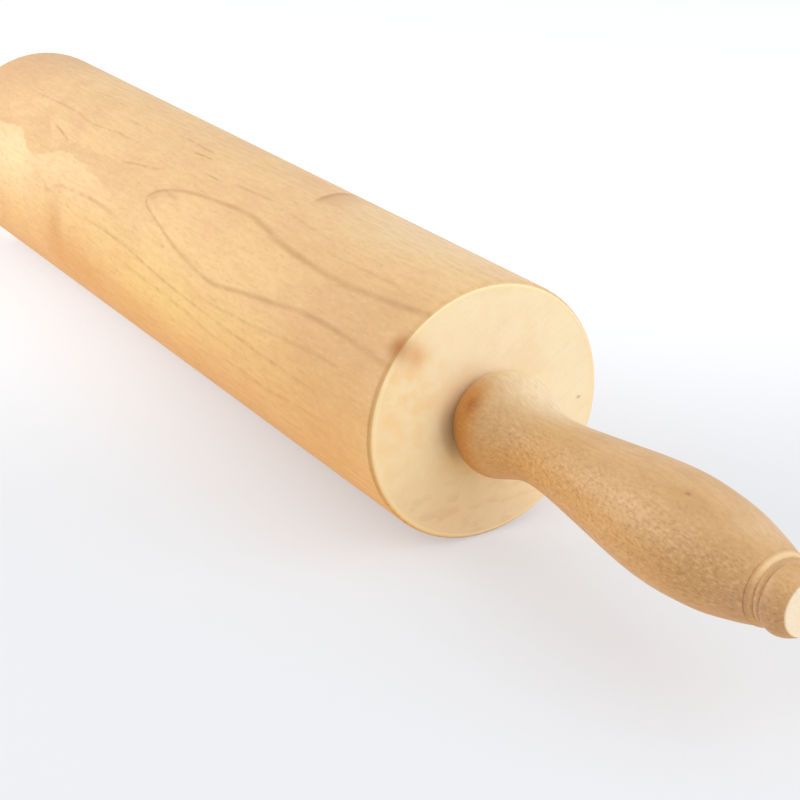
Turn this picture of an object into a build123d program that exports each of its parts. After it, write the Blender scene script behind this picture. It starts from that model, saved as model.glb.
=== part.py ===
from build123d import *
import os

# A two-handled rolling pin: a thick wooden barrel turns on ball bearings round a steel axle,
# and the axle is screwed into a turned wooden handle at each end.
# Millimetres. X runs along the axle, Z is up, and the origin is the middle of the barrel.
# Lengths called reach are measured outward from the back face of a handle.
# Lengths called from_end are measured back from the flat end of a handle.

# Barrel
barrel_length = 300.0
barrel_radius = 35.0
rim_rounding = 2.0
rim_overrun = 0.2
barrel_bore_radius = 7.5
seat_mouth_chamfer = 0.4

# Ball bearing, one in each end of the barrel
bearing_bore_radius = 4.0
bearing_radius = 9.5
bearing_width = 6.0
bearing_recess = 1.4
pitch_radius = 6.75
ball_radius = 1.588
ball_count = 7
ball_play = 0.01
groove_radius = 1.65
inner_shoulder_radius = 5.55
outer_shoulder_radius = 7.95
race_chamfer = 0.3
shield_thickness = 0.3
shield_recess = 0.2
shield_seat_radius = 8.5
shield_running_gap = 0.15
shield_lip = 0.25
cage_wall = 1.5
cage_back = 2.1
cage_front = 1.0
pocket_play = 0.1

# Axle, spacer tube and washers
axle_reach = 50.0
axle_end_chamfer = 0.8
spacer_radius = 5.5
washer_radius = 5.4
axle_play = 0.1
handle_gap = 0.6

# Threaded insert in each handle
insert_length = 20.0
insert_radius = 6.0
flange_radius = 8.0
flange_thickness = 1.5
barb_count = 4
barb_depth = 0.35
barb_width = 1.6
insert_chamfer = 0.5

# Handle, turned in one piece
handle_length = 116.1
back_face_radius = 10.0
back_edge_radius = 11.3
back_edge_reach = 0.7
shoulder_radius = 14.0
shoulder_reach = 7.6
neck_radius = 9.4
neck_reach = 27.4
belly_radius = 14.05
belly_reach = 76.0

# The handle's turned end: tail, fine groove, rounded step down to its foot, bead, notch and cap
tail_radius = 9.22
tail_from_end = 11.3
collar_radius = 9.0
collar_from_end = 10.3
crease_depth = 0.15
crease_width = 0.3
foot_radius = 7.9
foot_from_end = 8.4
bead_radius = 8.2
bead_width = 1.6
bead_edge_radius = 7.85
notch_radius = 7.65
notch_width = 0.25
cap_radius = 8.45
cap_from_end = 5.6
cap_edge_radius = 7.7
cap_edge_from_end = 2.1
end_flat_radius = 6.45
bore_end_play = 2.0

# Shares of the way along and of the way across, from one landmark of the outline to the next
back_round_shares = ((0.27, 0.50), (0.55, 0.79))
neck_fall_shares = ((0.27, 0.29), (0.52, 0.68), (0.80, 0.96))
belly_rise_shares = ((0.21, 0.165), (0.37, 0.37), (0.54, 0.59), (0.70, 0.795), (0.86, 0.952))
tail_fall_shares = ((0.30, 0.10), (0.56, 0.30), (0.75, 0.567), (0.89, 0.79))
foot_round_shares = ((0.60, 0.40),)
cap_rise_shares = ((0.30, 0.70),)

# Places worked out from the sizes above
barrel_end = barrel_length / 2
bearing_outer_face = barrel_end - bearing_recess
bearing_middle = bearing_outer_face - bearing_width / 2
bearing_inner_face = bearing_outer_face - bearing_width
handle_back = barrel_end + handle_gap
axle_radius = bearing_bore_radius
loose_bore_radius = axle_radius + axle_play
collar_reach = handle_length - collar_from_end
foot_reach = handle_length - foot_from_end


def turned(outline):
    """A solid of revolution about X from a closed outline of (along X, radius)."""
    return revolve(make_face(outline), Axis.X)


def ring(start, end, inner_radius, outer_radius):
    """A plain ring about X, or a disc where the inner radius is 0."""
    corners = [(start, inner_radius), (end, inner_radius), (end, outer_radius), (start, outer_radius)]
    return turned(Polyline(*corners, close=True))


def circles(solid):
    """The round edges of a turned solid."""
    return solid.edges().filter_by(GeomType.CIRCLE)


def stations(start, end, shares):
    """Points between two landmarks, at shares of the way along and across."""
    run = end[0] - start[0]
    rise = end[1] - start[1]
    return [(start[0] + along * run, start[1] + across * rise) for along, across in shares]


def make_barrel():
    """The roller, bored for the spacer tube and counterbored for a bearing at each end.

    The flat ends cut the rounding of the rims off a little early, which leaves a crisp edge.
    """
    body = ring(-barrel_end - rim_overrun, barrel_end + rim_overrun, 0, barrel_radius)
    body = fillet(circles(body), rim_rounding)
    body &= ring(-barrel_end, barrel_end, 0, 2 * barrel_radius)
    body -= ring(-barrel_end, barrel_end, 0, barrel_bore_radius)
    mouth_radius = bearing_radius + seat_mouth_chamfer
    for side in (-1, 1):
        corners = [
            (side * bearing_inner_face, 0),
            (side * bearing_inner_face, bearing_radius),
            (side * (barrel_end - seat_mouth_chamfer), bearing_radius),
            (side * barrel_end, mouth_radius),
            (side * barrel_end, 0),
        ]
        body -= turned(Polyline(*corners, close=True))
    return body


def handle_outline():
    """The outline of the handle from its back face to its end flat, along X from the back face."""
    shoulder = (shoulder_reach, shoulder_radius)
    neck = (neck_reach, neck_radius)
    belly = (belly_reach, belly_radius)
    tail = (handle_length - tail_from_end, tail_radius)
    back_edge = (back_edge_reach, back_edge_radius)
    swell = [back_edge]
    swell += stations(back_edge, shoulder, back_round_shares) + [shoulder]
    swell += stations(shoulder, neck, neck_fall_shares) + [neck]
    swell += stations(neck, belly, belly_rise_shares) + [belly]
    swell += stations(belly, tail, tail_fall_shares) + [tail]
    collar_start = (collar_reach, collar_radius)
    crease = (collar_reach + crease_width / 2, collar_radius - crease_depth)
    collar_end = (collar_reach + crease_width, collar_radius)
    foot = (foot_reach, foot_radius)
    bead_top = (foot_reach + bead_width / 2, bead_radius)
    bead_edge = (foot_reach + bead_width, bead_edge_radius)
    notch = (foot_reach + bead_width + notch_width, notch_radius)
    cap_top = (handle_length - cap_from_end, cap_radius)
    cap_edge = (handle_length - cap_edge_from_end, cap_edge_radius)
    end_flat = (handle_length, end_flat_radius)
    edges = [
        Line((0, 0), (0, back_face_radius)),
        Line((0, back_face_radius), back_edge),
        Spline(*swell),
        Line(tail, collar_start),
        Line(collar_start, crease),
        Line(crease, collar_end),
        Spline(collar_end, *stations(collar_end, foot, foot_round_shares), foot),
        Spline(foot, bead_top, bead_edge),
        Line(bead_edge, notch),
        Spline(notch, *stations(notch, cap_top, cap_rise_shares), cap_top, cap_edge, end_flat),
        Line(end_flat, (handle_length, 0)),
        Line((handle_length, 0), (0, 0)),
    ]
    return Wire(edges)


def make_handle():
    """The right handle, with a stepped blind bore for the threaded insert and the axle."""
    body = turned(handle_outline())
    body -= ring(0, flange_thickness, 0, flange_radius)
    body -= ring(0, insert_length, 0, insert_radius)
    body -= ring(0, axle_reach + bore_end_play, 0, loose_bore_radius)
    return Pos(handle_back, 0, 0) * body


def make_insert():
    """The threaded insert: a flange let into the back face, and a barbed sleeve behind it."""
    body = ring(0, insert_length, axle_radius, insert_radius)
    body += ring(0, flange_thickness, axle_radius, flange_radius)
    barb_pitch = (insert_length - flange_thickness) / (barb_count + 1)
    for barb in range(1, barb_count + 1):
        middle = flange_thickness + barb * barb_pitch
        start = middle - barb_width / 2
        end = middle + barb_width / 2
        corners = [(start, insert_radius), (end, insert_radius), (end, insert_radius - barb_depth)]
        body -= turned(Polyline(*corners, close=True))
    tip_circles = circles(body).group_by(Axis.X)[-1]
    body = chamfer(tip_circles.sort_by(SortBy.RADIUS)[-1], insert_chamfer)
    return Pos(handle_back, 0, 0) * body


def make_axle():
    """The steel rod that runs from handle to handle."""
    end = handle_back + axle_reach
    body = ring(-end, end, 0, axle_radius)
    return chamfer(circles(body), axle_end_chamfer)


def make_inner_race():
    """The inner race, on the axle, with its ball groove."""
    half = bearing_width / 2
    body = ring(-half, half, bearing_bore_radius, inner_shoulder_radius)
    body = chamfer(circles(body).group_by(SortBy.RADIUS)[0], race_chamfer)
    groove_floor = pitch_radius - ball_radius - ball_play
    return body - Rot(0, 90, 0) * Torus(groove_floor + groove_radius, groove_radius)


def make_outer_race():
    """The outer race, pressed into the barrel, with its ball groove and a seat for each shield."""
    half = bearing_width / 2
    body = ring(-half, half, outer_shoulder_radius, bearing_radius)
    body = chamfer(circles(body).group_by(SortBy.RADIUS)[-1], race_chamfer)
    groove_floor = pitch_radius + ball_radius + ball_play
    body -= Rot(0, 90, 0) * Torus(groove_floor - groove_radius, groove_radius)
    seat_depth = shield_recess + shield_thickness + shield_lip
    for side in (-1, 1):
        body -= ring(side * (half - seat_depth), side * half, 0, shield_seat_radius)
    return body


def ball_places():
    """Where the balls sit round the pitch circle."""
    return [Rot(360 * ball / ball_count, 0, 0) * Pos(0, pitch_radius, 0) for ball in range(ball_count)]


def make_balls():
    """The ring of balls in one bearing."""
    return Compound([place * Sphere(ball_radius) for place in ball_places()])


def make_cage():
    """The crown cage: a ring open on one side, with a round pocket that snaps over each ball."""
    body = ring(-cage_back, cage_front, pitch_radius - cage_wall / 2, pitch_radius + cage_wall / 2)
    pocket = Rot(90, 0, 0) * Cylinder(ball_radius + pocket_play, 2 * cage_wall)
    for place in ball_places():
        body -= place * pocket
    return body


def make_shield():
    """The outer shield: a thin dished plate with a lip round its rim, seated in the outer race."""
    outer_face = bearing_width / 2 - shield_recess
    plate_back = outer_face - shield_thickness
    plate = ring(plate_back, outer_face, inner_shoulder_radius + shield_running_gap, shield_seat_radius)
    lip_radius = shield_seat_radius - shield_thickness
    lip = ring(plate_back - shield_lip, plate_back, lip_radius, shield_seat_radius)
    return plate + lip


def make_washer():
    """The thrust washer between the inner race and the handle's insert."""
    return ring(bearing_outer_face, handle_back, loose_bore_radius, washer_radius)


def make_spacer():
    """The tube that holds the two inner races apart when the handles are screwed home."""
    return ring(-bearing_inner_face, bearing_inner_face, loose_bore_radius, spacer_radius)


def in_bearing(piece):
    """Moves a piece made about the bearing's middle to the right-hand bearing."""
    return Pos(bearing_middle, 0, 0) * piece


shield = make_shield()
single_pieces = {"barrel": make_barrel(), "axle": make_axle(), "spacer_tube": make_spacer()}
paired_pieces = {
    "handle": make_handle(),
    "handle_insert": make_insert(),
    "thrust_washer": make_washer(),
    "inner_race": in_bearing(make_inner_race()),
    "outer_race": in_bearing(make_outer_race()),
    "bearing_balls": in_bearing(make_balls()),
    "ball_cage": in_bearing(make_cage()),
    "outer_shield": in_bearing(shield),
    "inner_shield": in_bearing(mirror(shield, Plane.YZ)),
}

os.makedirs("parts", exist_ok=True)
for name, piece in single_pieces.items():
    export_step(piece, f"parts/{name}.step")
for name, piece in paired_pieces.items():
    export_step(piece, f"parts/{name}_right.step")
    export_step(mirror(piece, Plane.YZ), f"parts/{name}_left.step")
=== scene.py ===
"""Looks of the two-handled rolling pin: its materials, the floor, the light and the camera.

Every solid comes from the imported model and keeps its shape. The materials work in the model's own
millimetres, so their grain stays with the wood as the barrel turns. X runs along the axle.
"""

import math

import bpy
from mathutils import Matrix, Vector

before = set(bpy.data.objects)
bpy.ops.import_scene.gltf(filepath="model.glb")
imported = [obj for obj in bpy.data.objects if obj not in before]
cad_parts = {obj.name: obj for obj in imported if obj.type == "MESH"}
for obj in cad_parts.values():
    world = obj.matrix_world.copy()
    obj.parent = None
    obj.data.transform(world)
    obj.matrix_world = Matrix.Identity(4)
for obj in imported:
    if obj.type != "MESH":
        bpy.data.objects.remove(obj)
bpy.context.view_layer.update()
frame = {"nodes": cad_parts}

# Sizes of the part that the materials need, in millimetres
BARREL_RADIUS = 35.0
BARREL_HALF = 150.0
RIM_START = 148.2
RIM_EDGE_RADIUS = 33.9
HANDLE_START = 150.6
HANDLE_LENGTH = 116.1

# The barrel's growth rings. The tree's middle is a line beside the barrel.
# CROWN_ARC is where the rings lie flat to the surface, as an arc from the top of the barrel.
CROWN_ARC = 29.0
PITH_DISTANCE = 90.0
RING_SPACING = 2.4
# Swellings of the trunk: along X, length and height
RING_SWELLS = (
    (54.0, 31.0, 1.22),
    (156.0, 34.0, 0.74),
    (-25.0, 26.0, -0.50),
    (-75.0, 40.0, -0.35),
)

# The wide tongue of darker grain on the barrel's side: its middle line and its half width, both along X
LOOP_MIDDLE = (
    (4.0, 29.6), (9.0, 28.8), (40.0, 29.3), (62.0, 29.8), (86.0, 29.6), (106.0, 28.6), (150.0, 26.7),
)
LOOP_HALF = (
    (4.0, 0.0), (6.0, 2.2), (9.0, 3.5), (17.0, 5.8), (28.0, 8.1), (40.0, 9.8), (57.0, 11.2),
    (65.0, 10.6), (76.0, 8.8), (97.0, 6.7), (110.0, 5.8), (123.0, 6.1), (150.0, 8.2),
)
# Fainter lines of grain beside it: points of (X, arc from the top), half width and strength
GRAIN_LINES = (
    (((-63.0, 45.5), (-58.0, 42.6), (-50.0, 40.6), (-40.0, 39.7), (-28.0, 39.2), (-4.0, 39.8)), 1.2, 0.9),
    (((-48.0, 49.2), (-38.0, 47.0), (-30.0, 46.0), (0.0, 46.0), (30.0, 48.6), (140.0, 51.4)), 0.9, 1.0),
    (((-10.0, 51.3), (20.0, 52.2), (45.0, 53.5), (65.0, 55.0), (96.0, 54.5)), 1.2, 0.7),
    (((50.0, 46.7), (80.0, 45.4), (100.0, 43.6), (120.0, 42.0), (150.0, 42.6)), 1.0, 0.7),
    (((62.0, 60.6), (80.0, 60.0), (95.0, 60.2), (110.0, 59.0), (134.0, 57.5)), 1.0, 0.8),
    (((-120.0, 17.6), (-95.0, 16.6), (-75.0, 16.2), (-58.0, 17.3), (-42.0, 15.8), (-20.0, 15.6)), 0.9, 0.8),
    (((-84.0, 4.0), (-70.0, 3.2), (-56.0, 4.2)), 1.4, 0.8),
    (((-52.0, 9.4), (-38.0, 8.8), (-24.0, 9.8)), 1.3, 0.6),
    (((-16.0, 3.8), (-4.0, 4.3), (11.0, 4.5)), 0.8, 1.2),
    (((0.0, 8.2), (5.0, 7.9), (14.0, 7.4)), 0.7, 1.6),
    (((31.0, 12.3), (47.0, 11.2), (60.0, 10.8)), 0.9, 0.8),
    (((18.0, 13.4), (24.0, 13.4), (31.0, 13.1)), 0.7, 1.0),
    (((66.0, 11.8), (80.0, 12.4), (97.0, 13.2)), 1.0, 0.8),
    (((90.0, 16.9), (110.0, 16.5), (138.0, 15.0)), 0.9, 0.6),
    (((-26.0, 24.2), (-12.0, 21.6), (2.0, 19.2)), 0.9, 1.0),
    (((-79.0, 23.8), (-70.0, 25.2), (-60.0, 27.2)), 0.8, 1.2),
)
# Edges of the cream streak low on the barrel's side and of the darker band above it
CREAM_EDGE = (
    (-125.0, 34.0), (-104.0, 32.1), (-95.0, 32.3), (-86.0, 35.8), (-79.0, 36.8), (-71.0, 34.3),
    (-62.0, 30.6), (-45.0, 31.0), (-35.0, 31.8), (-17.0, 34.6), (10.0, 39.0),
)
BAND_EDGE = (
    (-125.0, 31.0), (-112.0, 30.4), (-105.0, 27.6), (-97.0, 25.8), (-83.0, 24.2), (-76.0, 27.0),
    (-70.0, 31.0), (-64.0, 29.4), (-60.0, 27.2), (-48.0, 26.6), (-38.0, 25.0), (-22.0, 24.4), (0.0, 22.0),
)

# Stains and lighter patches on the barrel's side, with painted light and shade among them, marked below:
# centre (X, arc from the top), half size, strength, colour
BARREL_STAINS_AND_PAINTED_LIGHT = (
    ((-140.0, 2.0), (24.0, 40.0), 0.7, (222, 176, 130)),
    # Painted shade: a brown streak low on the side
    ((-53.0, 56.0), (8.0, 11.0), 0.65, (212, 152, 90)),
    # Painted warm bounce light low on the side
    ((-34.0, 63.0), (16.0, 10.0), 0.6, (226, 160, 96)),
    ((-60.0, 43.6), (3.5, 1.2), 0.4, (196, 152, 96)),
    ((6.8, 28.2), (3.0, 2.2), 0.4, (186, 128, 78)),
    ((13.0, 24.8), (6.0, 1.8), 0.3, (200, 146, 92)),
    ((46.0, -8.0), (14.0, 6.0), 0.35, (226, 172, 122)),
    ((110.0, 0.0), (34.0, 14.0), 0.5, (250, 222, 172)),
    # Painted shade: the side darkens towards the near rim
    ((128.0, 36.0), (40.0, 24.0), 0.55, (206, 154, 100)),
    ((60.0, 30.0), (36.0, 9.0), 0.3, (246, 202, 134)),
    # Painted warm bounce light low on the side, in this and the next three patches
    ((24.0, 54.0), (60.0, 10.0), 0.6, (255, 222, 142)),
    ((0.0, 67.0), (62.0, 10.0), 0.45, (242, 184, 96)),
    ((-52.0, 68.0), (14.0, 9.0), 0.45, (232, 168, 90)),
    ((126.0, 67.0), (22.0, 9.0), 0.35, (228, 172, 98)),
    ((-70.0, 44.0), (10.0, 7.0), 0.3, (226, 180, 124)),
    ((-4.0, 28.0), (12.0, 6.0), 0.25, (222, 174, 118)),
    ((112.0, -14.0), (46.0, 12.0), 0.3, (250, 226, 196)),
    ((-50.0, -2.0), (12.0, 8.0), 0.25, (226, 178, 128)),
    # Painted warm bounce light low on the side
    ((32.0, 56.0), (28.0, 8.0), 0.25, (255, 226, 160)),
)
# A short brown stain over the top of the barrel, in two layers that lean with the arc:
# where each starts and ends along X, and its colour
SLANTED_STAIN = (
    (65.0, 84.0, (206, 146, 98)),
    (64.6, 70.0, (186, 118, 68)),
)
SLANT = -0.45
# A brown spot that crosses the near rim: on the side and on the sawn end, as centre (X, Y, Z), half size,
# strength and colour
RIM_SPOT = (
    ((BARREL_HALF - 1.5, -26.1, 23.3), (2.8, 3.2, 3.6), 0.85, (180, 116, 52)),
    ((BARREL_HALF, -21.6, 20.2), (2.0, 2.8, 3.2), 0.6, (226, 160, 92)),
)
# A dark dot on the sawn end, given in the same way
END_DOT = ((0.0, 29.0, -2.0), (0.0, 0.6, 0.4), 0.6, (150, 112, 84))

# Lighter and darker parts of the handle, with painted light among them, marked below: centre (reach from
# its back face, degrees round from the top), half size, strength, colour
HANDLE_PATCHES_AND_PAINTED_LIGHT = (
    # Painted warm bounce light low on the neck
    ((32.0, 90.0), (26.0, 60.0), 0.5, (216, 160, 84)),
    ((66.0, 95.0), (30.0, 30.0), 0.35, (226, 174, 108)),
    ((72.0, 58.0), (22.0, 16.0), 0.3, (230, 190, 140)),
    ((92.0, 72.0), (16.0, 40.0), 0.45, (190, 148, 98)),
    ((110.0, 105.0), (20.0, 42.0), 0.65, (184, 155, 134)),
    ((29.0, 18.0), (8.0, 38.0), 0.45, (216, 168, 92)),
    ((99.0, -10.0), (9.0, 32.0), 0.5, (244, 212, 172)),
    ((17.0, 62.0), (8.0, 36.0), 0.5, (202, 166, 120)),
    # Painted sheen: the very pale top of the shoulder and neck, in this and the next patch
    ((12.0, -60.0), (24.0, 70.0), 0.95, (255, 238, 206)),
    ((14.0, -10.0), (12.0, 30.0), 0.6, (255, 230, 186)),
)
# Marks on the handle and painted shade: painted shade at the foot of its shoulder, a brown blot, and a dark
# dot out on the belly
HANDLE_MARKS_AND_PAINTED_SHADE = (
    # Painted shade at the foot of the shoulder
    ((2.0, 110.0), (5.0, 38.0), 0.85, (96, 60, 36)),
    ((8.5, 53.0), (2.0, 9.0), 0.6, (160, 84, 30)),
    ((81.8, 18.5), (0.8, 2.0), 0.7, (150, 100, 60)),
)
# Paler and darker rings of the handle's turned end, on its upper and its lower side: on the upper side a
# painted highlight on the step and painted shade just after it, on the lower side a brown line and two
# paler bands. Each gives where it starts and ends as a reach from the back face, strength and colour
UPPER_PAINTED_HIGHLIGHT_AND_SHADE = (
    (106.2, 108.2, 0.7, (252, 222, 176)),
    (107.8, 109.6, 0.4, (186, 156, 116)),
)
LOWER_RINGS = (
    (105.4, 106.5, 0.4, (176, 112, 64)),
    (106.7, 107.8, 0.4, (236, 202, 152)),
    (108.0, 109.4, 0.35, (226, 192, 150)),
)

# Camera, solved from the outlines of the barrel and the handle in the photograph
CAMERA_PLACE = (0.50044, -0.24491, 0.18939)
CAMERA_AIM = (-0.77803, 0.48544, -0.39875)
CAMERA_LENS = 82.49
CAMERA_SENSOR = 36.0
CAMERA_CLIPS = (0.01, 50.0)

# Floor and light
FLOOR_HEIGHT = -0.035
FLOOR_HALF = 6.0
AMBIENT = 0.54
# Each lamp: direction from the pin, distance, size and power
LAMPS = {
    "window": ((0.72, 0.30, 0.66), 1.8, 2.2, 19.0),
    "side_fill": ((-0.65, -0.75, 0.45), 1.0, 0.9, 5.0),
}


def colour(red, green, blue):
    """A colour as it shows on a screen, 0 to 255, turned into the linear numbers that shaders use."""
    linear = []
    for part in (red, green, blue):
        share = part / 255
        if share <= 0.04045:
            linear.append(share / 12.92)
        else:
            linear.append(((share + 0.055) / 1.055) ** 2.4)
    return (*linear, 1.0)


# The floor's colour to the camera, the warmer one that it throws back on the wood, and its glow,
# which rises from near to far with the distance along the camera's aim: from, to, low, high.
FLOOR_SEEN = colour(182, 184, 188)
FLOOR_BOUNCE = colour(250, 226, 178)
FLOOR_GLOW = colour(250, 252, 255)
FLOOR_FADE = (-0.12, 0.06, 0.43, 0.62)


class Finish:
    """One material's nodes, with short calls for the few kinds of node that the materials share."""

    def __init__(self, name):
        self.material = bpy.data.materials.new(name)
        self.material.use_nodes = True
        self.nodes = self.material.node_tree.nodes
        self.links = self.material.node_tree.links
        self.nodes.clear()
        place = self.node("ShaderNodeTexCoord").outputs["Object"]
        self.place = self.vector("MULTIPLY", place, (1000, 1000, 1000))
        parts = self.node("ShaderNodeSeparateXYZ")
        self.feed(parts.inputs[0], self.place)
        self.x = parts.outputs["X"]
        self.y = parts.outputs["Y"]
        self.z = parts.outputs["Z"]
        self.from_middle = self.math("ABSOLUTE", self.x)
        self.turn = self.math("ARCTAN2", self.math("MULTIPLY", self.y, -1.0), self.z)

    def node(self, kind, **settings):
        made = self.nodes.new(kind)
        for name, value in settings.items():
            setattr(made, name, value)
        return made

    def feed(self, socket, value):
        """Links another node's output to the socket, or sets a plain number or colour on it."""
        if isinstance(value, bpy.types.NodeSocket):
            self.links.new(value, socket)
        else:
            socket.default_value = value

    def math(self, operation, *values):
        made = self.node("ShaderNodeMath", operation=operation)
        for socket, value in zip(made.inputs, values):
            self.feed(socket, value)
        return made.outputs[0]

    def vector(self, operation, *values):
        made = self.node("ShaderNodeVectorMath", operation=operation)
        for socket, value in zip(made.inputs, values):
            self.feed(socket, value)
        scalar = operation in ("LENGTH", "DISTANCE", "DOT_PRODUCT")
        return made.outputs["Value" if scalar else "Vector"]

    def rise(self, value, start, end, low=0.0, high=1.0):
        """A smooth step from low at start to high at end."""
        made = self.node("ShaderNodeMapRange", interpolation_type="SMOOTHSTEP")
        for name, given in zip(("Value", "From Min", "From Max", "To Min", "To Max"),
                               (value, start, end, low, high)):
            self.feed(made.inputs[name], given)
        return made.outputs["Result"]

    def noise(self, cycles, detail=2.0, roughness=0.5, place=None, output="Fac"):
        """Soft noise around 0.5. The cycles are how many fit in a millimetre along X, Y and Z."""
        made = self.node("ShaderNodeTexNoise")
        scaled = self.vector("MULTIPLY", place or self.place, cycles)
        self.feed(made.inputs["Vector"], scaled)
        made.inputs["Scale"].default_value = 1.0
        made.inputs["Detail"].default_value = detail
        made.inputs["Roughness"].default_value = roughness
        return made.outputs[output]

    def mix(self, share, under, over):
        made = self.node("ShaderNodeMix", data_type="RGBA")
        for place, value in ((0, share), (6, under), (7, over)):
            self.feed(made.inputs[place], value)
        return made.outputs[2]

    def joined(self, along, across):
        """A place on the unrolled surface: so far along and so far across."""
        made = self.node("ShaderNodeCombineXYZ")
        self.feed(made.inputs["X"], along)
        self.feed(made.inputs["Y"], across)
        return made.outputs[0]

    def swell(self, centre, size, place=None):
        """1 at the centre, falling off over the size on each side. A size of 0 has no end that way."""
        away = self.vector("SUBTRACT", place or self.place, centre)
        scaled = self.vector("MULTIPLY", away, tuple(1 / part if part else 0.0 for part in size))
        square = self.vector("DOT_PRODUCT", scaled, scaled)
        return self.math("EXPONENT", self.math("MULTIPLY", square, -1.0))

    def curve(self, value, points):
        """A smooth curve through points of (value, result)."""
        made = self.node("ShaderNodeFloatCurve")
        made.mapping.use_clip = False
        knots = made.mapping.curves[0].points
        knots[0].location = points[0]
        knots[1].location = points[-1]
        for point in points[1:-1]:
            knots.new(*point)
        made.mapping.update()
        self.feed(made.inputs["Value"], value)
        return made.outputs[0]

    def between(self, value, start, end, soft):
        """1 from start to end, and 0 beyond them, with soft ends of that length inside."""
        begun = self.rise(value, start, start + soft)
        not_over = self.rise(value, end, end - soft)
        return self.math("MULTIPLY", begun, not_over)

    def drawn_line(self, along, across, points, half_width):
        """1 on a soft line through points of (along, across), fading towards its ends."""
        off = self.math("ABSOLUTE", self.math("SUBTRACT", across, self.curve(along, points)))
        start = points[0][0]
        end = points[-1][0]
        kept = self.between(along, start, end, (end - start) / 4)
        return self.math("MULTIPLY", self.rise(off, half_width, 0.0), kept)

    def tint(self, base, share, strength, over):
        """Lays the colour over the base, by the share of each place times one strength."""
        return self.mix(self.math("MULTIPLY", share, strength), base, over)

    def patches(self, base, surface, table):
        """Lays soft patches over the base, each round its centre on a flat surface or in space."""
        for centre, size, strength, over in table:
            share = self.swell((*centre, 0.0)[:3], (*size, 0.0)[:3], surface)
            base = self.tint(base, share, strength, colour(*over))
        return base

    def finish(self, base, roughness, bumps, metallic=0.0, specular=0.5):
        """Makes the surface. The bumps are pairs of a height's output and its depth in millimetres."""
        surface = self.node("ShaderNodeBsdfPrincipled")
        self.feed(surface.inputs["Base Color"], base)
        self.feed(surface.inputs["Roughness"], roughness)
        surface.inputs["Metallic"].default_value = metallic
        surface.inputs["Specular IOR Level"].default_value = specular
        normal = None
        for height, depth in bumps:
            bump = self.node("ShaderNodeBump")
            bump.inputs["Strength"].default_value = 1.0
            bump.inputs["Distance"].default_value = depth / 1000
            self.feed(bump.inputs["Height"], height)
            if normal:
                self.feed(bump.inputs["Normal"], normal)
            normal = bump.outputs["Normal"]
        self.feed(surface.inputs["Normal"], normal)
        output = self.node("ShaderNodeOutputMaterial")
        self.feed(output.inputs["Surface"], surface.outputs[0])
        return self.material


def ring_lines(wood, field, spacing, seed):
    """The dark line that ends each year's growth, stronger in some years than in others."""
    years = wood.math("MULTIPLY", field, 1 / spacing)
    year = wood.math("ROUND", years)
    within = wood.math("SUBTRACT", years, year)
    build_up = wood.rise(within, -0.42, -0.02)
    drop = wood.rise(within, 0.12, 0.0)
    chance = wood.node("ShaderNodeTexWhiteNoise", noise_dimensions="1D")
    wood.feed(chance.inputs["W"], wood.math("ADD", year, seed))
    strength = wood.rise(chance.outputs["Value"], 0.0, 1.0, 0.1, 0.6)
    return wood.math("MULTIPLY", wood.math("MULTIPLY", build_up, drop), strength)


def barrel_grain(wood, arc):
    """The darker lines on the barrel: the tongue, the faint lines beside it and the rings all round."""
    off_middle = wood.math("SUBTRACT", arc, wood.curve(wood.x, LOOP_MIDDLE))
    aside = wood.math("ABSOLUTE", off_middle)
    off = wood.math("ABSOLUTE", wood.math("SUBTRACT", aside, wood.curve(wood.x, LOOP_HALF)))
    width = wood.rise(wood.x, 10.0, 80.0, 1.1, 1.8)
    width = wood.math("MULTIPLY", width, wood.rise(off_middle, -1.0, 1.0, 1.0, 0.8))
    loop = wood.rise(wood.math("DIVIDE", off, width), 1.0, 0.0)
    loop = wood.math("MULTIPLY", loop, wood.rise(wood.x, LOOP_HALF[0][0] - 0.5, LOOP_HALF[0][0] + 1.0))
    broken = wood.rise(wood.noise((0.08, 0.12, 0.12), detail=2.0), 0.35, 0.6, 0.6, 1.0)
    grain = wood.math("MULTIPLY", loop, broken)
    patchy = wood.rise(wood.noise((0.2, 0.15, 0.15), detail=3.0), 0.35, 0.6, 0.25, 0.8)
    for points, half_width, strength in GRAIN_LINES:
        line = wood.drawn_line(wood.x, arc, points, half_width)
        line = wood.math("MULTIPLY", line, wood.math("MULTIPLY", patchy, strength))
        grain = wood.math("MAXIMUM", grain, line)

    turn = CROWN_ARC / BARREL_RADIUS
    pith = (0.0, PITH_DISTANCE * math.sin(turn), -PITH_DISTANCE * math.cos(turn))
    crosswise = wood.vector("MULTIPLY", wood.place, (0, 1, 1))
    reach = wood.vector("DISTANCE", crosswise, pith)
    field = wood.math("SUBTRACT", reach, PITH_DISTANCE + BARREL_RADIUS)
    for along, length, height in RING_SWELLS:
        hill = wood.swell((along, 0.0, 0.0), (length, 0.0, 0.0))
        field = wood.math("MULTIPLY_ADD", hill, height, field)
    waver = wood.noise((0.03, 0.12, 0.12), detail=3.0)
    field = wood.math("MULTIPLY_ADD", waver, 0.5, field)
    rings = wood.math("MULTIPLY", ring_lines(wood, field, RING_SPACING, 3.0), patchy)
    beside = wood.math("SUBTRACT", 1.0, wood.between(arc, -8.0, 70.0, 14.0))
    rings = wood.math("MULTIPLY", rings, wood.math("MULTIPLY_ADD", beside, 1.3, 0.1))
    return wood.math("MAXIMUM", grain, rings), rings


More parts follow.
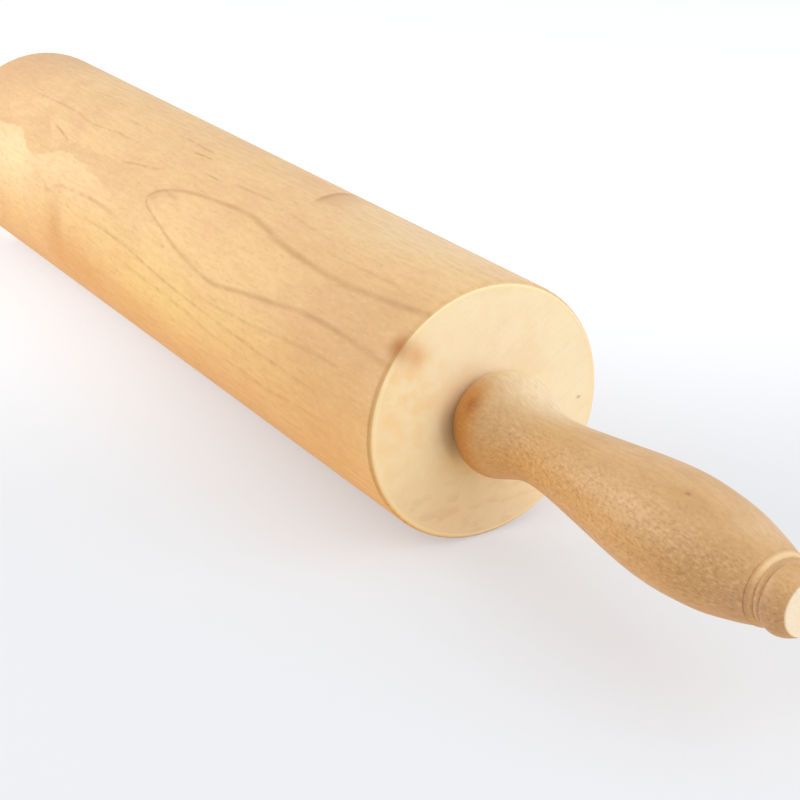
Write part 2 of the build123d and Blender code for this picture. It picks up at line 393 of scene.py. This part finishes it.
def barrel_end_grain(wood, rings):
    """The sawn ends: cream, with orange mottling on one side, painted shade that browns the lower part and
    the ring round the handle's shoulder, and a pale outer edge that is partly a painted highlight.
    """
    cloud = wood.noise((0.05, 0.09, 0.09), detail=4.0)
    mottle = wood.rise(wood.noise((0.1, 0.22, 0.22), detail=4.0), 0.4, 0.65)
    pores = wood.rise(wood.noise((0.5, 2.6, 2.6), detail=1.0), 0.6, 0.75)
    base = wood.mix(wood.rise(cloud, 0.35, 0.65), colour(253, 241, 212), colour(250, 233, 200))
    orange = wood.swell((0.0, -26.0, 9.0), (0.0, 15.0, 17.0))
    orange = wood.math("MULTIPLY", orange, wood.math("MULTIPLY_ADD", mottle, 0.7, 0.3))
    base = wood.tint(base, orange, 0.6, colour(250, 212, 146))
    # Painted shade: the lower part of the sawn end is browned, with darker smears in it, where the handle's
    # shadow falls
    low = wood.math("MULTIPLY", wood.rise(wood.z, -8.0, -28.0), wood.rise(wood.y, 26.0, 0.0, 0.45, 1.0))
    base = wood.tint(base, low, 0.45, colour(240, 212, 180))
    pale = wood.swell((0.0, 28.0, 0.0), (0.0, 10.0, 22.0))
    base = wood.tint(base, pale, 0.35, colour(255, 250, 232))
    smears = wood.rise(wood.noise((0.1, 0.12, 0.3), detail=3.0), 0.5, 0.62)
    base = wood.tint(base, wood.math("MULTIPLY", smears, low), 0.3, colour(226, 190, 160))
    base = wood.tint(base, rings, 0.1, colour(226, 192, 150))
    base = wood.tint(base, pores, 0.12, colour(205, 160, 116))
    base = wood.patches(base, wood.place, (END_DOT,))
    reach = wood.vector("LENGTH", wood.vector("MULTIPLY", wood.place, (0, 1, 1)))
    # Painted shade round the handle's shoulder: a warm browning of the sawn end, stronger on the near side,
    # and a darker painted shadow in the narrow gap beside the shoulder
    near_side = wood.rise(wood.y, 4.0, -10.0, 0.2, 0.9)
    painted_shoulder_shade = wood.math("MULTIPLY", wood.rise(reach, 19.0, 11.0), near_side)
    base = wood.tint(base, painted_shoulder_shade, 0.45, colour(236, 196, 146))
    painted_gap_shadow = wood.math("MULTIPLY", wood.rise(reach, 15.6, 13.0), wood.rise(wood.y, -5.0, -12.0))
    painted_gap_shadow = wood.math("MULTIPLY", painted_gap_shadow, wood.rise(wood.z, 9.0, 1.0))
    base = wood.tint(base, painted_gap_shadow, 0.25, colour(152, 112, 78))
    # A pale ring at the outer edge of the sawn end: worn wood and a painted highlight along the edge
    worn_edge_and_painted_highlight = wood.rise(reach, RIM_EDGE_RADIUS - 0.9, RIM_EDGE_RADIUS - 0.4)
    return wood.tint(base, worn_edge_and_painted_highlight, 0.8, colour(255, 238, 196))


def barrel_wood():
    """Pale close-grained wood with a wide tongue of grain on the side that faces the camera."""
    wood = Finish("barrel_wood")
    arc = wood.math("MULTIPLY", wood.turn, BARREL_RADIUS)
    grain, rings = barrel_grain(wood, arc)

    cloud = wood.noise((0.015, 0.05, 0.05), detail=3.0)
    blush = wood.noise((0.07, 0.1, 0.1), detail=3.0)
    fibre = wood.noise((0.12, 0.8, 0.8), detail=4.0, roughness=0.6)
    fleck = wood.rise(wood.noise((0.3, 1.5, 1.5), detail=2.0), 0.56, 0.72)
    grit = wood.noise((0.5, 0.9, 0.9), detail=2.0)

    base = wood.mix(wood.rise(cloud, 0.35, 0.65), colour(240, 200, 144), colour(247, 207, 149))
    base = wood.tint(base, wood.rise(blush, 0.45, 0.7), 0.45, colour(238, 190, 142))
    base = wood.tint(base, wood.rise(blush, 0.5, 0.3), 0.35, colour(250, 214, 150))

    ragged = wood.math("MULTIPLY_ADD", wood.noise((0.12, 0.2, 0.2), detail=3.0), 4.0, arc)
    past_cream = wood.math("SUBTRACT", ragged, wood.math("ADD", wood.curve(wood.x, CREAM_EDGE), 2.0))
    past_band = wood.math("SUBTRACT", ragged, wood.math("ADD", wood.curve(wood.x, BAND_EDGE), 2.0))
    cream = wood.math("MULTIPLY", wood.rise(past_cream, -0.7, 0.7), wood.rise(wood.x, -2.0, -50.0))
    cream = wood.math("MULTIPLY", cream, wood.rise(arc, 62.0, 46.0))
    band = wood.math("MULTIPLY", wood.rise(past_band, -0.5, 0.5), wood.rise(past_cream, 0.4, -0.4))
    band = wood.math("MULTIPLY", band, wood.rise(wood.x, -8.0, -26.0))
    islands = wood.rise(wood.noise((0.05, 0.14, 0.14), detail=2.0), 0.48, 0.52)
    islands = wood.math("MULTIPLY", islands, wood.rise(wood.x, -15.0, -45.0))
    islands = wood.math("MULTIPLY", islands, wood.rise(arc, -60.0, -20.0))
    above = wood.math("MULTIPLY", islands, wood.rise(past_band, 0.5, -0.5))
    base = wood.tint(base, above, 0.4, colour(250, 212, 156))
    base = wood.tint(base, band, 0.4, colour(228, 186, 132))
    base = wood.tint(base, cream, 0.66, colour(255, 220, 164))
    flat = wood.joined(wood.x, arc)
    glow = wood.swell((-98.0, 40.0, 0.0), (30.0, 13.0, 1.0), flat)
    base = wood.tint(base, wood.math("MULTIPLY", glow, cream), 0.7, colour(255, 232, 184))

    bend = wood.noise((0.08, 0.15, 0.15), output="Color")
    unbent = wood.vector("SUBTRACT", flat, (4.5, 3.5, 0.0))
    bent = wood.vector("MULTIPLY_ADD", bend, (9.0, 7.0, 0.0), unbent)
    # Lays the stains, with the painted bounce light and shade among them
    base = wood.patches(base, bent, BARREL_STAINS_AND_PAINTED_LIGHT)
    # Painted warm bounce light: a golden tint over the lower side of the barrel
    base = wood.tint(base, wood.between(arc, 54.0, 108.0, 24.0), 0.4, colour(246, 190, 104))
    leaning = wood.math("MULTIPLY_ADD", arc, SLANT, wood.x)
    upper = wood.math("MULTIPLY", wood.rise(arc, 5.0, -1.0), wood.rise(arc, -22.0, -8.0))
    for start, end, over in SLANTED_STAIN:
        begun = wood.rise(leaning, start, start + 0.9)
        faded = wood.rise(leaning, end, start + 1.0)
        streak = wood.math("MULTIPLY", wood.math("MULTIPLY", begun, faded), upper)
        base = wood.tint(base, streak, 0.42, colour(*over))

    base = wood.tint(base, wood.rise(fibre, 0.35, 0.7), 0.21, colour(212, 160, 104))
    base = wood.tint(base, fleck, 0.2, colour(206, 150, 100))
    base = wood.tint(base, wood.rise(grit, 0.55, 0.75), 0.2, colour(212, 160, 106))
    base = wood.tint(base, wood.rise(grit, 0.45, 0.25), 0.16, colour(255, 224, 172))
    base = wood.tint(base, grain, 0.48, colour(184, 130, 74))

    on_rim = wood.between(wood.from_middle, RIM_START - 0.2, BARREL_HALF - 0.3, 0.9)
    near_side = wood.math("MULTIPLY_ADD", wood.between(arc, 26.0, 90.0, 26.0), 0.5, 0.06)
    base = wood.mix(wood.math("MULTIPLY", on_rim, near_side), base, colour(176, 138, 96))
    on_end = wood.rise(wood.from_middle, BARREL_HALF - 0.5, BARREL_HALF - 0.2)
    base = wood.mix(on_end, base, barrel_end_grain(wood, rings))
    base = wood.patches(base, wood.place, RIM_SPOT)

    roughness = wood.rise(fibre, 0.2, 0.8, 0.42, 0.58)
    bumps = ((fibre, 0.05), (wood.math("SUBTRACT", 1.0, fleck), 0.03), (cloud, 0.2))
    return wood.finish(base, roughness, bumps, specular=0.35)


def handle_grain(wood, angle):
    """Fine wavy dabs, thickest low on the near side, and faint rings."""
    dabs = wood.noise((0.7, 1.6, 1.6), detail=2.0)
    dense = wood.between(angle, 15.0, 150.0, 50.0)
    dense = wood.math("MULTIPLY_ADD", dense, 0.75, 0.25)
    crosswise = wood.vector("MULTIPLY", wood.place, (0, 1, 1))
    reach = wood.vector("DISTANCE", crosswise, (0.0, 46.0, -30.0))
    waver = wood.noise((0.02, 0.15, 0.15), detail=3.0)
    field = wood.math("MULTIPLY_ADD", waver, 2.0, reach)
    return dabs, dense, ring_lines(wood, field, 2.1, 11.0)


def handle_wood():
    """Golden-brown turned wood with fine flecks along the grain and pale sawn ends."""
    wood = Finish("handle_wood")
    reach = wood.math("SUBTRACT", wood.from_middle, HANDLE_START)
    angle = wood.math("MULTIPLY", wood.turn, math.degrees(1.0))
    flat = wood.joined(reach, angle)
    dabs, dense, rings = handle_grain(wood, angle)
    dense = wood.math("MULTIPLY", dense, wood.rise(reach, 4.0, 28.0, 0.4, 1.0))

    cloud = wood.noise((0.03, 0.09, 0.09), detail=3.0)
    blush = wood.noise((0.12, 0.16, 0.16), detail=3.0)
    fibre = wood.noise((0.1, 1.1, 1.1), detail=4.0, roughness=0.6)
    base = wood.mix(wood.rise(cloud, 0.35, 0.65), colour(214, 168, 110), colour(223, 180, 126))
    base = wood.tint(base, wood.rise(blush, 0.45, 0.7), 0.3, colour(206, 158, 108))
    # Lays the patches, with the painted sheen and bounce light among them
    base = wood.patches(base, flat, HANDLE_PATCHES_AND_PAINTED_LIGHT)
    shoulder = wood.math("MULTIPLY", wood.rise(reach, 13.5, 8.0), wood.between(angle, 8.0, 176.0, 44.0))
    base = wood.tint(base, shoulder, 0.7, colour(210, 130, 20))
    # Lays the marks and the painted shade at the shoulder's foot
    base = wood.patches(base, flat, HANDLE_MARKS_AND_PAINTED_SHADE)

    base = wood.tint(base, wood.rise(fibre, 0.35, 0.7), 0.22, colour(186, 138, 86))
    base = wood.tint(base, rings, 0.15, colour(184, 136, 88))
    dark_dabs = wood.math("MULTIPLY", wood.rise(dabs, 0.53, 0.66), dense)
    light_dabs = wood.math("MULTIPLY", wood.rise(dabs, 0.47, 0.32), dense)
    base = wood.tint(base, dark_dabs, 0.34, colour(160, 108, 60))
    base = wood.tint(base, light_dabs, 0.32, colour(242, 206, 156))

    upper = wood.between(angle, -170.0, 80.0, 50.0)
    lower = wood.between(angle, 40.0, 170.0, 45.0)
    # On the upper side these rings are a painted highlight and painted shade
    for side, table in ((upper, UPPER_PAINTED_HIGHLIGHT_AND_SHADE), (lower, LOWER_RINGS)):
        for start, end, strength, over in table:
            turned = wood.math("MULTIPLY", wood.between(reach, start, end, (end - start) / 2), side)
            base = wood.tint(base, turned, strength, colour(*over))
    end = wood.rise(reach, HANDLE_LENGTH - 0.5, HANDLE_LENGTH - 0.1)
    pores = wood.rise(wood.noise((0.5, 3.4, 3.4), detail=1.0), 0.58, 0.72)
    end_base = wood.mix(wood.math("MULTIPLY", pores, 0.25), colour(248, 238, 222), colour(190, 148, 108))
    base = wood.mix(end, base, end_base)

    roughness = wood.rise(fibre, 0.2, 0.8, 0.36, 0.52)
    bumps = ((fibre, 0.05), (wood.math("SUBTRACT", 1.0, dabs), 0.1))
    return wood.finish(base, roughness, bumps, specular=0.45)


def round_the_axle(metal, cycles):
    """Noise that runs in rings round the X axis, as a lathe or a grinding wheel leaves it."""
    crosswise = metal.vector("MULTIPLY", metal.place, (0, 1, 1))
    reach = metal.vector("LENGTH", crosswise)
    unrolled = metal.joined(metal.x, reach)
    return metal.noise((cycles, cycles, 0.0), detail=3.0, place=unrolled)


def turned_metal(name, light, dark, roughness_low, roughness_high, cycles, depth):
    """Metal with fine marks that run round the axle, and faint cloudy stains."""
    metal = Finish(name)
    marks = round_the_axle(metal, cycles)
    stains = metal.noise((0.15, 0.15, 0.15), detail=4.0)
    base = metal.mix(metal.rise(stains, 0.3, 0.7), light, dark)
    base = metal.mix(metal.rise(marks, 0.35, 0.65, 0.0, 0.25), base, dark)
    roughness = metal.rise(marks, 0.25, 0.75, roughness_low, roughness_high)
    return metal.finish(base, roughness, ((marks, depth),), metallic=1.0)


def ball_steel():
    """Polished bearing steel with a few hairline scratches."""
    metal = Finish("ball_steel")
    scratches = metal.rise(metal.noise((6.0, 1.5, 9.0), detail=2.0), 0.64, 0.7)
    haze = metal.noise((0.8, 0.8, 0.8), detail=3.0)
    base = metal.mix(metal.rise(haze, 0.3, 0.7), colour(214, 216, 220), colour(198, 201, 207))
    roughness = metal.math("MULTIPLY_ADD", scratches, 0.2, metal.rise(haze, 0.2, 0.8, 0.05, 0.12))
    return metal.finish(base, roughness, ((scratches, 0.002),), metallic=1.0)


def cage_plastic():
    """Moulded plastic with short glass fibres just under its skin."""
    plastic = Finish("cage_plastic")
    fibres = plastic.rise(plastic.noise((2.2, 7.0, 3.0), detail=2.0), 0.56, 0.7)
    clouds = plastic.noise((0.4, 0.4, 0.4), detail=3.0)
    base = plastic.mix(plastic.rise(clouds, 0.3, 0.7), colour(222, 211, 182), colour(206, 194, 162))
    base = plastic.mix(plastic.math("MULTIPLY", fibres, 0.35), base, colour(238, 231, 212))
    roughness = plastic.rise(clouds, 0.2, 0.8, 0.38, 0.52)
    return plastic.finish(base, roughness, ((clouds, 0.02), (fibres, 0.006)), specular=0.4)


def dress(frame):
    """Gives each node the material of its slot in the record."""
    made = {
        "barrel_wood": barrel_wood(),
        "handle_wood": handle_wood(),
        "axle_steel": turned_metal(
            "axle_steel", colour(176, 178, 182), colour(146, 148, 154), 0.28, 0.42, 3.0, 0.01),
        "spacer_steel": turned_metal(
            "spacer_steel", colour(184, 188, 192), colour(156, 162, 170), 0.32, 0.5, 1.4, 0.01),
        "insert_brass": turned_metal(
            "insert_brass", colour(214, 178, 104), colour(184, 146, 78), 0.26, 0.42, 3.5, 0.015),
        "race_steel": turned_metal(
            "race_steel", colour(194, 196, 200), colour(168, 171, 177), 0.12, 0.26, 6.0, 0.004),
        "shield_steel": turned_metal(
            "shield_steel", colour(200, 201, 203), colour(172, 174, 178), 0.3, 0.45, 4.0, 0.006),
        "ball_steel": ball_steel(),
        "cage_plastic": cage_plastic(),
    }
    for piece in frame["nodes"].values():
        for slot in piece.material_slots:
            slot.material = made[slot.material.name]


def shown(nodes, links):
    """1 where the camera sees the surface, straight on, in a reflection or through glass, and else 0."""
    path = nodes.new("ShaderNodeLightPath")
    total = path.outputs["Is Camera Ray"]
    for way in ("Is Glossy Ray", "Is Transmission Ray"):
        either = nodes.new("ShaderNodeMath")
        either.operation = "MAXIMUM"
        links.new(total, either.inputs[0])
        links.new(path.outputs[way], either.inputs[1])
        total = either.outputs[0]
    return total


def make_floor():
    """A plain pale floor that shows white to the camera and keeps the pin's shadow."""
    half = FLOOR_HALF
    mesh = bpy.data.meshes.new("floor")
    corners = [(-half, -half, FLOOR_HEIGHT), (half, -half, FLOOR_HEIGHT),
               (half, half, FLOOR_HEIGHT), (-half, half, FLOOR_HEIGHT)]
    mesh.from_pydata(corners, [], [(0, 1, 2, 3)])
    floor = bpy.data.objects.new("floor", mesh)
    bpy.context.scene.collection.objects.link(floor)
    material = bpy.data.materials.new("floor")
    material.use_nodes = True
    nodes = material.node_tree.nodes
    links = material.node_tree.links
    nodes.clear()
    seen = shown(nodes, links)
    diffuse = nodes.new("ShaderNodeBsdfDiffuse")
    tint = nodes.new("ShaderNodeMix")
    tint.data_type = "RGBA"
    tint.inputs[6].default_value = FLOOR_BOUNCE
    tint.inputs[7].default_value = FLOOR_SEEN
    links.new(seen, tint.inputs[0])
    links.new(tint.outputs[2], diffuse.inputs["Color"])
    place = nodes.new("ShaderNodeTexCoord")
    away = nodes.new("ShaderNodeVectorMath")
    away.operation = "DOT_PRODUCT"
    away.inputs[1].default_value = (CAMERA_AIM[0], CAMERA_AIM[1], 0.0)
    links.new(place.outputs["Object"], away.inputs[0])
    fade = nodes.new("ShaderNodeMapRange")
    fade.interpolation_type = "SMOOTHSTEP"
    for name, value in zip(("From Min", "From Max", "To Min", "To Max"), FLOOR_FADE):
        fade.inputs[name].default_value = value
    links.new(away.outputs["Value"], fade.inputs["Value"])
    level = nodes.new("ShaderNodeMath")
    level.operation = "MULTIPLY"
    links.new(seen, level.inputs[0])
    links.new(fade.outputs["Result"], level.inputs[1])
    glow = nodes.new("ShaderNodeEmission")
    glow.inputs["Color"].default_value = FLOOR_GLOW
    links.new(level.outputs[0], glow.inputs["Strength"])
    total = nodes.new("ShaderNodeAddShader")
    links.new(diffuse.outputs[0], total.inputs[0])
    links.new(glow.outputs[0], total.inputs[1])
    output = nodes.new("ShaderNodeOutputMaterial")
    links.new(total.outputs[0], output.inputs["Surface"])
    mesh.materials.append(material)


def make_world():
    """An even pale surround: white where it is seen, and gentler where it only lights the pin."""
    world = bpy.data.worlds.new("surround")
    bpy.context.scene.world = world
    world.use_nodes = True
    nodes = world.node_tree.nodes
    links = world.node_tree.links
    nodes.clear()
    level = nodes.new("ShaderNodeMapRange")
    level.inputs["To Min"].default_value = AMBIENT
    level.inputs["To Max"].default_value = 1.0
    links.new(shown(nodes, links), level.inputs["Value"])
    background = nodes.new("ShaderNodeBackground")
    background.inputs["Color"].default_value = colour(255, 255, 255)
    links.new(level.outputs["Result"], background.inputs["Strength"])
    output = nodes.new("ShaderNodeOutputWorld")
    links.new(background.outputs[0], output.inputs["Surface"])


def make_lamp(name, direction, distance, size, power):
    """A square soft light that looks at the middle of the pin from that direction."""
    data = bpy.data.lights.new(name, "AREA")
    data.shape = "SQUARE"
    data.size = size
    data.energy = power
    lamp = bpy.data.objects.new(name, data)
    bpy.context.scene.collection.objects.link(lamp)
    away = Vector(direction).normalized()
    lamp.location = away * distance
    lamp.rotation_mode = "QUATERNION"
    lamp.rotation_quaternion = (-away).to_track_quat("-Z", "Y")


def make_camera():
    data = bpy.data.cameras.new("camera")
    data.lens = CAMERA_LENS
    data.sensor_width = CAMERA_SENSOR
    data.clip_start, data.clip_end = CAMERA_CLIPS
    camera = bpy.data.objects.new("camera", data)
    bpy.context.scene.collection.objects.link(camera)
    camera.location = CAMERA_PLACE
    camera.rotation_mode = "QUATERNION"
    camera.rotation_quaternion = Vector(CAMERA_AIM).to_track_quat("-Z", "Y")
    bpy.context.scene.camera = camera


dress(frame)
make_floor()
make_world()
for lamp_name, lamp_values in LAMPS.items():
    make_lamp(lamp_name, *lamp_values)
make_camera()
bpy.context.scene.view_settings.view_transform = "Standard"
